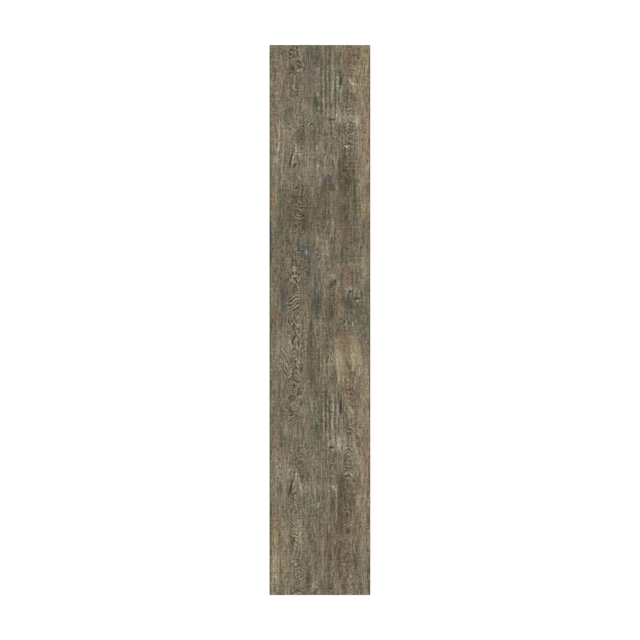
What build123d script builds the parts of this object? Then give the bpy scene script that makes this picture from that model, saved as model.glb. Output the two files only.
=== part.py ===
from build123d import *
import os

# Wood-look porcelain plank tile, lying face up.
# X runs across the plank, Y along it and Z up, with the origin under the middle of its back.

# Overall size, after all four sides have been ground square
WIDTH = 220.0
LENGTH = 1200.0
THICKNESS = 9.5

# Edges of the face: a bevel down both long sides, and only a fine arris on the two ends
LONG_BEVEL_WIDTH = 1.2
LONG_BEVEL_DROP = 0.9
END_ARRIS = 0.4

# Edge of the back, eased all round
BACK_ARRIS = 0.8

# Keyed back: square pockets with sloping walls, set in a grid and parted by ribs that carry the tile
POCKET_MOUTH = 22.0
POCKET_DEPTH = 0.8
POCKET_DRAFT = 35.0
RIB_WIDTH = 4.0

# Least width of the plain band between the outer pockets and the sides
BAND_WIDTH = 7.0

POCKET_PITCH = POCKET_MOUTH + RIB_WIDTH


def ground_profile(plane, span, face_width, face_drop):
    """Section across one span: flat back with eased corners, upright sides, face edges cut back."""
    half = span / 2
    corners = [
        (-half + BACK_ARRIS, 0),
        (half - BACK_ARRIS, 0),
        (half, BACK_ARRIS),
        (half, THICKNESS - face_drop),
        (half - face_width, THICKNESS),
        (-half + face_width, THICKNESS),
        (-half, THICKNESS - face_drop),
        (-half, BACK_ARRIS),
    ]
    return plane * make_face(Polyline(*corners, close=True))


def slab():
    """Body of the plank: what its cross-section and its lengthwise section have in common.

    The two sets of ground edges meet in true mitres at the four corners.
    """
    across = ground_profile(Plane.XZ, WIDTH, LONG_BEVEL_WIDTH, LONG_BEVEL_DROP)
    along = ground_profile(Plane.YZ, LENGTH, END_ARRIS, END_ARRIS)
    return extrude(across, LENGTH / 2, both=True) & extrude(along, WIDTH / 2, both=True)


def pockets_in(span):
    """How many pockets fit in one span, with a rib between neighbours and a plain band at each end."""
    return int((span - 2 * BAND_WIDTH + RIB_WIDTH) // POCKET_PITCH)


def keyed_back():
    """The grid of pockets pressed into the back, each narrowing from its mouth to its floor."""
    pocket = extrude(Rectangle(POCKET_MOUTH, POCKET_MOUTH), POCKET_DEPTH, taper=POCKET_DRAFT)
    grid = GridLocations(POCKET_PITCH, POCKET_PITCH, pockets_in(WIDTH), pockets_in(LENGTH))
    return [place * pocket for place in grid]


floor_tile = slab() - keyed_back()

os.makedirs("parts", exist_ok=True)
export_step(floor_tile, "parts/floor_tile.step")
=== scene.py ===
"""Looks of a porcelain plank tile, printed and embossed as weathered boards, face up on a white table."""

import logging
import math
from collections.abc import Iterator
from dataclasses import dataclass, field
from enum import Enum
from typing import TypeVar

import bmesh
import bpy
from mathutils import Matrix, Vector


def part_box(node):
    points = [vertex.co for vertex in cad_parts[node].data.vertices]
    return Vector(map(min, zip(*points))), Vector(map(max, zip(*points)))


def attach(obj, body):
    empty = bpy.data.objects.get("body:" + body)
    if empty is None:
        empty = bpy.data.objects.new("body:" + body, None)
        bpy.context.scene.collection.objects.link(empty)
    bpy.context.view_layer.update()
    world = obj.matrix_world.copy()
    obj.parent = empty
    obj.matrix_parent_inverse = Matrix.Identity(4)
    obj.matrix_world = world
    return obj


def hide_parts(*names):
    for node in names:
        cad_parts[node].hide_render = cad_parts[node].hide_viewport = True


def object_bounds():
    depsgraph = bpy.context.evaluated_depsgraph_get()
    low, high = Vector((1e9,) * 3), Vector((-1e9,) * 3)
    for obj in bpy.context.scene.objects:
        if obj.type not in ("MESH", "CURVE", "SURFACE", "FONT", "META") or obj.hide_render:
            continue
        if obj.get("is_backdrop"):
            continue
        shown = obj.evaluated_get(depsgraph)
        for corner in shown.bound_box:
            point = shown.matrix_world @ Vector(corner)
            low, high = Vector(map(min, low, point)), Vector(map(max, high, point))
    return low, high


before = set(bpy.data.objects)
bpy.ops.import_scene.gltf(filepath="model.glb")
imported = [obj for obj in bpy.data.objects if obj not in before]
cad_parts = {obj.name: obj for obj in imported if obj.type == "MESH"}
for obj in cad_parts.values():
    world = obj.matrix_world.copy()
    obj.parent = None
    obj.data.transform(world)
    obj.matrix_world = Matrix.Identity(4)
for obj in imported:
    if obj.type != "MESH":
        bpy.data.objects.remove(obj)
CAD_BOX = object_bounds()

LOG = logging.getLogger("plank_tile")
NODE = "floor_tile"
BODY = "root"
MM = 0.001
WHITE = (1.0, 1.0, 1.0, 1.0)

# What the mesh carries for its finishes: tint, ridges and quiet patches of the print, glazed faces, bake map
MARKS = "print_marks"
RIDGES = "print_ridges"
QUIET = "print_quiet"
GLAZED = "glazed"
BAKE_MAP = "OFBake"

# Noise of the grain: gain to a spread of about 1, strength of an octave to the last, step between seeds
NOISE_GAIN = 8.0
NOISE_ROUGHNESS = 0.6
SEED_STEP = (17.3, 5.9)

Socket = bpy.types.NodeSocket
Tree = bpy.types.NodeTree
Operand = Socket | float | tuple[float, ...]
Levels = tuple[float, float, float]
Colour = tuple[float, float, float, float]


class TreeKind(Enum):
    """The two kinds of node tree that the grain is woven into."""

    SHADER = "ShaderNodeTree"
    GEOMETRY = "GeometryNodeTree"

    @property
    def group_node(self) -> str:
        """Type name of the node that places a group in a tree of this kind."""
        return self.value.replace("NodeTree", "NodeGroup")


@dataclass(frozen=True)
class Grain:
    """One noise of the wood: width and length of its features in millimetres, and its finer octaves."""

    across: float
    along: float
    octaves: int
    seed: int = 0


def octave_sum(octaves: int) -> float:
    """Strength of a noise and its finer octaves together, with the first octave as 1."""
    return sum(NOISE_ROUGHNESS**octave for octave in range(octaves + 1))


class Loom:
    """Lays nodes in one tree and joins them, alike for shader and geometry trees."""

    def __init__(self, tree: Tree) -> None:
        """Takes the tree that the nodes go into."""
        self.tree = tree
        self.kind = TreeKind(tree.bl_idname)

    def node(self, kind: str, **settings: object) -> bpy.types.Node:
        """Adds a node.

        Args:
            kind: type name of the node.
            settings: properties to set on it.
        Returns:
            The new node.
        """
        made = self.tree.nodes.new(kind)
        for name, value in settings.items():
            setattr(made, name, value)
        return made

    def feed(self, node: bpy.types.Node, inputs: dict[int | str, Operand]) -> None:
        """Links a node's inputs to other nodes, or sets their values.

        Args:
            node: the node to feed.
            inputs: an output to link or a plain value, by the input's place or name.
        """
        for key, value in inputs.items():
            if isinstance(value, Socket):
                self.tree.links.new(value, node.inputs[key])
            else:
                node.inputs[key].default_value = value

    def call(
        self, kind: str, inputs: dict[int | str, Operand], output: int | str = 0, **settings: object
    ) -> Socket:
        """Adds a node, feeds its inputs and returns one output.

        Args:
            kind: type name of the node.
            inputs: what to feed, by the input's place or name.
            output: place or name of the output to return.
            settings: properties to set on the node.
        Returns:
            The output socket.
        """
        made = self.node(kind, **settings)
        self.feed(made, inputs)
        return made.outputs[output]

    def group(self, tree: Tree, inputs: dict[str, Operand]) -> bpy.types.Node:
        """Places a group node.

        Args:
            tree: the group's tree.
            inputs: what to feed, by input name.
        Returns:
            The group node.
        """
        made = self.node(self.kind.group_node, node_tree=tree)
        self.feed(made, inputs)
        return made

    def math(self, operation: str, *terms: Operand) -> Socket:
        """One Math node over the terms."""
        return self.call("ShaderNodeMath", dict(enumerate(terms)), operation=operation)

    def vector(self, operation: str, *terms: Operand, output: int = 0) -> Socket:
        """One Vector Math node over the terms."""
        return self.call("ShaderNodeVectorMath", dict(enumerate(terms)), output, operation=operation)

    def weighted(self, *terms: tuple[Operand, float]) -> Socket:
        """Adds up values.

        Args:
            terms: each value with its weight.
        Returns:
            The sum of the values times their weights.
        """
        result, *others = (self.math("MULTIPLY", value, weight) for value, weight in terms)
        for other in others:
            result = self.math("ADD", result, other)
        return result

    def split(self, vector: Socket) -> tuple[Socket, Socket]:
        """First two components of a vector."""
        made = self.call("ShaderNodeSeparateXYZ", {0: vector}).node
        return made.outputs[0], made.outputs[1]

    def height(self, vector: Socket) -> Socket:
        """Third component of a vector."""
        return self.call("ShaderNodeSeparateXYZ", {0: vector}, 2)

    def join(self, across: Operand, along: Operand) -> Socket:
        """Vector from two components in the plane of the face."""
        return self.call("ShaderNodeCombineXYZ", {0: across, 1: along})

    def ease(self, value: Operand, start: Operand, end: Operand) -> Socket:
        """Smooth step that is 0 at start and 1 at end."""
        steps = {0: value, 1: start, 2: end}
        return self.call("ShaderNodeMapRange", steps, interpolation_type="SMOOTHSTEP")

    def reach(self, offset: Socket, half: Socket) -> Socket:
        """Distance from the middle of an oval, 1 at its rim."""
        return self.vector("LENGTH", self.vector("DIVIDE", offset, half), output=1)

    def mixed(self, mask: Operand, under: Operand, over: Operand, blend: str = "MIX") -> Socket:
        """One colour laid over another where the mask is 1."""
        colours = {0: mask, 6: under, 7: over}
        return self.call("ShaderNodeMix", colours, 2, data_type="RGBA", blend_type=blend)

    def grain(self, place: Socket, grain: Grain, finer: int = 0) -> Socket:
        """Noise drawn out along the boards, about 0 on average with a spread of about 1.

        Args:
            place: position on the face in millimetres.
            grain: the noise to lay.
            finer: octaves beyond its own, added without weakening those.
        Returns:
            The noise value.
        """
        octaves = grain.octaves + finer
        gain = NOISE_GAIN * octave_sum(octaves) / octave_sum(grain.octaves)
        rates = (1 / grain.across, 1 / grain.along, 0)
        start = (*(grain.seed * step for step in SEED_STEP), 0)
        value = self.call(
            "ShaderNodeTexNoise",
            {
                "Vector": self.vector("MULTIPLY_ADD", place, rates, start),
                "Scale": 1.0,
                "Detail": octaves,
                "Roughness": NOISE_ROUGHNESS,
            },
            noise_dimensions="2D",
        )
        return self.math("MULTIPLY_ADD", value, gain, -0.5 * gain)


def new_group(
    name: str, kind: TreeKind, inputs: dict[str, str], outputs: dict[str, str]
) -> tuple[Loom, dict[str, Socket], bpy.types.Node]:
    """Starts a node group.

    Args:
        name: the group's name.
        kind: which kind of tree it is.
        inputs: input names with their socket kinds, such as Float.
        outputs: output names with their socket kinds.
    Returns:
        A loom on the group, its input values by name, and its output node.
    """
    tree = bpy.data.node_groups.new(name, kind.value)
    for side, sockets in (("INPUT", inputs), ("OUTPUT", outputs)):
        for label, socket in sockets.items():
            tree.interface.new_socket(name=label, in_out=side, socket_type="NodeSocket" + socket)
    loom = Loom(tree)
    entry = loom.node("NodeGroupInput")
    return loom, {label: entry.outputs[label] for label in inputs}, loom.node("NodeGroupOutput")


def to_linear(level: float) -> float:
    """Scene-linear value of an 8-bit display level, by the sRGB curve."""
    share = max(level, 0.0) / 255
    return share / 12.92 if share <= 0.04045 else ((share + 0.055) / 1.055) ** 2.4


def linear_colour(levels: Levels) -> Colour:
    """Scene-linear colour, with alpha, of three 8-bit display levels."""
    return (*(to_linear(level) for level in levels), 1.0)


@dataclass(frozen=True)
class WoodPalette:
    """Colours of the print, in 8-bit display levels."""

    middle: Levels = (120.3, 110.3, 90.8)
    slope: Levels = (1.0, 1.0, 0.95)
    reach: float = 72.0
    stops: int = 7

    def at(self, offset: float) -> Colour:
        """Linear colour that is so many levels lighter or darker than the middle."""
        return linear_colour(tuple(m + s * offset for m, s in zip(self.middle, self.slope)))

    def tint(self, shade: Levels) -> Colour:
        """Linear multiplier that moves the middle colour by so many levels a channel."""
        changed = (to_linear(m + s) / to_linear(m) for m, s in zip(self.middle, shade))
        return (*changed, 1.0)

    def ramp(self, loom: Loom, levels: Socket) -> Socket:
        """Turns a tone in levels about the middle into a colour.

        Args:
            loom: where the nodes go.
            levels: the tone.
        Returns:
            The colour.
        """
        made = loom.node("ShaderNodeValToRGB")
        elements = made.color_ramp.elements
        shares = [index / (self.stops - 1) for index in range(self.stops)]
        for share in shares[1:-1]:
            elements.new(share)
        for share, element in zip(shares, elements):
            element.position = share
            element.color = self.at((2 * share - 1) * self.reach)
        loom.feed(made, {0: loom.math("MULTIPLY_ADD", levels, 0.5 / self.reach, 0.5)})
        return made.outputs[0]


@dataclass(frozen=True)
class BoardFigure:
    """Flat-sawn figure of one board: growth rings cut lengthwise, in millimetres on the face."""

    across: float
    half_width: float
    ring: float
    depth: float
    swing: float


@dataclass(frozen=True)
class Boards:
    """The two printed boards side by side, and the noises of their grain. Lengths are millimetres."""

    seam: float = 1.0
    stagger: float = 3700.0
    left: BoardFigure = BoardFigure(across=-53, half_width=22, ring=5.4, depth=16, swing=26)
    right: BoardFigure = BoardFigure(across=62, half_width=12, ring=5.0, depth=12, swing=18)

    # Slow bends of the boards
    drift: Grain = Grain(45, 210, 1)
    wander: Grain = Grain(14, 60, 1, seed=1)
    drift_bend: float = 3.0
    wander_bend: float = 0.9

    # Fibre, flecks, hairs and pores that follow the bends; the print is finer than the relief
    coarse: Grain = Grain(12, 150, 1, seed=2)
    medium: Grain = Grain(4.2, 46, 1, seed=3)
    fine: Grain = Grain(2.3, 13, 1, seed=4)
    coarse_weight: float = 0.30
    medium_weight: float = 0.62
    fine_weight: float = 0.55
    fleck: Grain = Grain(3.1, 4.8, 2, seed=5)
    hair: Grain = Grain(0.6, 17, 2, seed=12)
    pore: Grain = Grain(0.5, 5.5, 1, seed=13)
    pore_edge: tuple[float, float] = (0.9, 1.6)
    print_octaves: int = 2

    # Clouds, and saw marks across the boards, which don't follow the bends
    cloud: Grain = Grain(26, 60, 2, seed=6)
    saw: Grain = Grain(60, 2.6, 1, seed=8)

    # Growth rings: how the cut wanders through the tree, and where the figure fades
    cut: Grain = Grain(200, 48, 2, seed=7)
    gaps: Grain = Grain(200, 60, 1, seed=9)
    gap_edge: tuple[float, float] = (-1.4, 0.6)
    side_edge: tuple[float, float] = (0.45, 1.1)
    board_step: float = 50.0
    ring_wander: float = 0.3
    ring_jag: float = 0.1

    # How stains bleed into the grain, and how ridges wave and curl
    bleed_drift: float = 1.2
    bleed_fleck: float = 1.0
    bleed_medium: float = 4.0
    wave: Grain = Grain(11, 14, 1, seed=10)
    cross_wave: Grain = Grain(11, 14, 1, seed=11)
    wavy: tuple[float, float] = (1.0, 1.1)
    curly: tuple[float, float] = (1.9, 2.2)

    def weave(self, kind: TreeKind) -> Tree:
        """Builds the group that turns a place on the face into the grain there.

        Args:
            kind: the kind of tree to build it for.
        Returns:
            The group's tree.
        """
        values = ("Fibre", "Fleck", "Cloud", "Figure", "Saw", "Hair", "Pore")
        places = ("Bleed", "Wavy", "Curly")
        loom, given, result = new_group(
            f"board_grain_{kind.name.lower()}",
            kind,
            {"Place": "Vector"},
            dict.fromkeys(values, "Float") | dict.fromkeys(places, "Vector"),
        )
        across, along = loom.split(given["Place"])
        second = loom.math("GREATER_THAN", across, self.seam)
        shifted = loom.math("MULTIPLY_ADD", second, self.stagger, along)
        board = loom.join(across, shifted)
        drift = loom.grain(board, self.drift)
        wander = loom.grain(board, self.wander)
        bend = loom.weighted((drift, self.drift_bend), (wander, self.wander_bend))
        flow = loom.join(loom.math("ADD", across, bend), shifted)
        finer = self.print_octaves if kind is TreeKind.SHADER else 0
        medium = loom.grain(flow, self.medium)
        fibre = loom.weighted(
            (loom.grain(flow, self.coarse), self.coarse_weight),
            (medium, self.medium_weight),
            (loom.grain(flow, self.fine, finer), self.fine_weight),
        )
        fleck = loom.grain(flow, self.fleck, finer)
        bleed_across = loom.weighted((drift, self.bleed_drift), (fleck, self.bleed_fleck), (across, 1.0))
        bleed_along = loom.weighted((medium, self.bleed_medium), (along, 1.0))
        wave = loom.grain(board, self.wave)
        cross_wave = loom.grain(board, self.cross_wave)

        def bent(reach: tuple[float, float]) -> Socket:
            """Place on the face, bent this way and that by so many millimetres."""
            bent_across = loom.math("MULTIPLY_ADD", wave, reach[0], across)
            return loom.join(bent_across, loom.math("MULTIPLY_ADD", cross_wave, reach[1], along))

        loom.feed(
            result,
            {
                "Fibre": fibre,
                "Fleck": fleck,
                "Cloud": loom.grain(board, self.cloud),
                "Figure": self.rings(loom, flow, second, wander, fleck),
                "Saw": loom.grain(board, self.saw),
                "Hair": loom.grain(flow, self.hair),
                "Pore": loom.ease(loom.grain(flow, self.pore), *self.pore_edge),
                "Bleed": loom.join(bleed_across, bleed_along),
                "Wavy": bent(self.wavy),
                "Curly": bent(self.curly),
            },
        )
        return loom.tree

    def rings(self, loom: Loom, flow: Socket, second: Socket, wander: Socket, jag: Socket) -> Socket:
        """Growth rings where each board was cut near the middle of its tree.

        Args:
            loom: where the nodes go.
            flow: place on the face, drawn along the grain.
            second: 1 on the right board and 0 on the left.
            wander: noise that bends the grain.
            jag: finer noise that breaks up the lines.
        Returns:
            Ring lines between -1 and 1, faded out beside the figure.
        """

        def pick(name: str) -> Socket:
            """Size of the figure on the board that the place is on."""
            low, high = getattr(self.left, name), getattr(self.right, name)
            return loom.math("MULTIPLY_ADD", second, high - low, low)

        across, along = loom.split(flow)
        offset = loom.math("SUBTRACT", across, pick("across"))
        line = loom.join(loom.math("MULTIPLY", second, self.board_step), along)
        cut = loom.math("MULTIPLY_ADD", loom.grain(line, self.cut), pick("swing"), pick("depth"))
        radius = loom.vector("LENGTH", loom.join(offset, cut), output=1)
        turns = loom.weighted(
            (loom.math("DIVIDE", radius, pick("ring")), 1.0),
            (wander, self.ring_wander),
            (jag, self.ring_jag),
        )
        line_value = loom.math("SINE", loom.math("MULTIPLY", turns, math.tau))
        beside = loom.math("DIVIDE", loom.math("ABSOLUTE", offset), pick("half_width"))
        fade = loom.math("SUBTRACT", 1.0, loom.ease(beside, *self.side_edge))
        patchy = loom.ease(loom.grain(line, self.gaps), *self.gap_edge)
        return loom.math("MULTIPLY", line_value, loom.math("MULTIPLY", fade, patchy))


@dataclass(frozen=True)
class Patch:
    """Oval patch of the print, placed and sized in millimetres from the middle of the face."""

    across: float
    along: float
    half_width: float
    half_length: float

    def spot(self, shift: float) -> dict[str, Operand]:
        """Inputs that give a group the patch's place, so far along the tile, and its size."""
        centre = (self.across, self.along + shift, 0)
        return {"Centre": centre, "Half": (self.half_width, self.half_length, 1)}


@dataclass(frozen=True)
class Stain(Patch):
    """Soft patch of colour, with ends that bleed along the grain unless it is crisp.

    Shade is the change in 8-bit levels, lean is how far the patch leans across for each millimetre along,
    and core is the share of it that has its full shade.
    """

    shade: Levels
    lean: float = 0.0
    core: float = 0.3
    crisp: bool = False


class Pattern(Enum):
    """How the lines of a patch of ridges run."""

    STRAIGHT = 0
    CHEVRON = 1
    ZIGZAG = 2
    ROUND = 3


@dataclass(frozen=True)
class Ripple(Patch):
    """Patch of close light and dark lines: ridges, chevrons, rings, saw marks or stripes.

    Rates are lines a millimetre, and contrast is in 8-bit levels.
    """

    rate_across: float
    rate_along: float
    contrast: float
    pattern: Pattern = Pattern.STRAIGHT


@dataclass(frozen=True)
class QuietPatch(Patch):
    """Quiet patch of a board, without growth rings and with only a share of its fibre."""

    fibre: float = 1.0


def grey(levels: float, warmth: float = 0.0) -> Levels:
    """Shade that is lighter or darker, and warmer or cooler, by so many levels."""
    return (levels + warmth, levels, levels - warmth)


# How far along the tile the repeated marks of the print come again, in millimetres
REPEAT = -715.0

REPEATED_STAINS = (
    # Left board
    Stain(-59, 585, 15, 17, grey(-8)),
    Stain(-62, 548, 7, 18, grey(-14)),
    Stain(-46, 560, 5, 11, grey(-20), crisp=True),
    Stain(-57, 502, 15, 22, grey(-9)),
    Stain(-64, 512, 6, 10, grey(-14)),
    Stain(-8, 470, 6, 26, grey(-8)),
    Stain(-88, 395, 20, 50, grey(7, 1)),
    Stain(-63.2, 350, 2.9, 21, grey(-40), lean=0.25, core=0.5, crisp=True),
    Stain(-55, 337, 3.4, 7, grey(-32), lean=0.4, core=0.4, crisp=True),
    Stain(-54.5, 345, 2.4, 6, grey(18), core=0.4, crisp=True),
    Stain(-58.6, 352, 2.6, 13, grey(30), lean=0.25, core=0.5, crisp=True),
    Stain(-51.5, 374, 2.6, 14, grey(28), core=0.4, crisp=True),
    Stain(-43.5, 360, 2.8, 18, grey(30), lean=-0.1, core=0.4, crisp=True),
    Stain(-33, 492, 11, 50, grey(2)),
    Stain(-18, 345, 18, 34, grey(6)),
    # Right board
    Stain(46, 530, 3.4, 25, (-26, -28, -25), core=0.3, crisp=True),
    Stain(45, 520, 4.5, 11, grey(-20), crisp=True),
    Stain(38.8, 517, 2.8, 32, (12, 13, 19), core=0.4, crisp=True),
    Stain(27.4, 500, 2.4, 48, grey(14), lean=0.07, core=0.5, crisp=True),
    Stain(31, 466, 2.2, 24, grey(13), lean=0.05, core=0.5, crisp=True),
    Stain(34.5, 492, 2.2, 44, grey(-15), core=0.5, crisp=True),
    Stain(21, 508, 2.4, 44, grey(-12), core=0.5, crisp=True),
    Stain(40, 446, 5, 30, grey(20)),
    Stain(24, 448, 10, 8, grey(16)),
    Stain(25, 437, 7, 3.4, grey(-34), core=0.4, crisp=True),
    Stain(2.4, 505, 1.6, 100, grey(-13), core=0.6, crisp=True),
    Stain(7, 510, 2, 90, grey(9), core=0.6, crisp=True),
    Stain(13, 520, 1.8, 70, grey(-10), core=0.6, crisp=True),
    Stain(60, 438, 26, 16, grey(8)),
    Stain(78, 446, 4, 28, grey(16)),
    Stain(64, 526, 5, 4, (18, 15, 9), lean=-1.5, core=0.5, crisp=True),
    Stain(69.6, 517, 3.4, 9, (25, 21, 12), lean=-0.6, core=0.5, crisp=True),
    Stain(73.6, 500, 2.6, 14, (12, 10, 6), lean=-0.1, core=0.4, crisp=True),
    Stain(62, 496, 6, 8, grey(-12)),
    Stain(10, 496, 10, 8, grey(-9)),
    Stain(52, 368, 6, 24, grey(-12)),
    Stain(62, 405, 10, 44, grey(-5)),
    Stain(63, 475, 8, 18, grey(-8)),
    Stain(57, 379, 2.4, 4.5, grey(27), core=0.5, crisp=True),
    Stain(28, 350, 5, 11, grey(21)),
    Stain(36, 340, 2.2, 18, grey(16), core=0.5, crisp=True),
    Stain(58, 322, 20, 44, grey(-9, 1), core=0.7, crisp=True),
    Stain(53, 325, 3, 5, grey(-24), crisp=True),
    Stain(43, 324, 6, 44, grey(-9), core=0.6, crisp=True),
)

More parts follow.
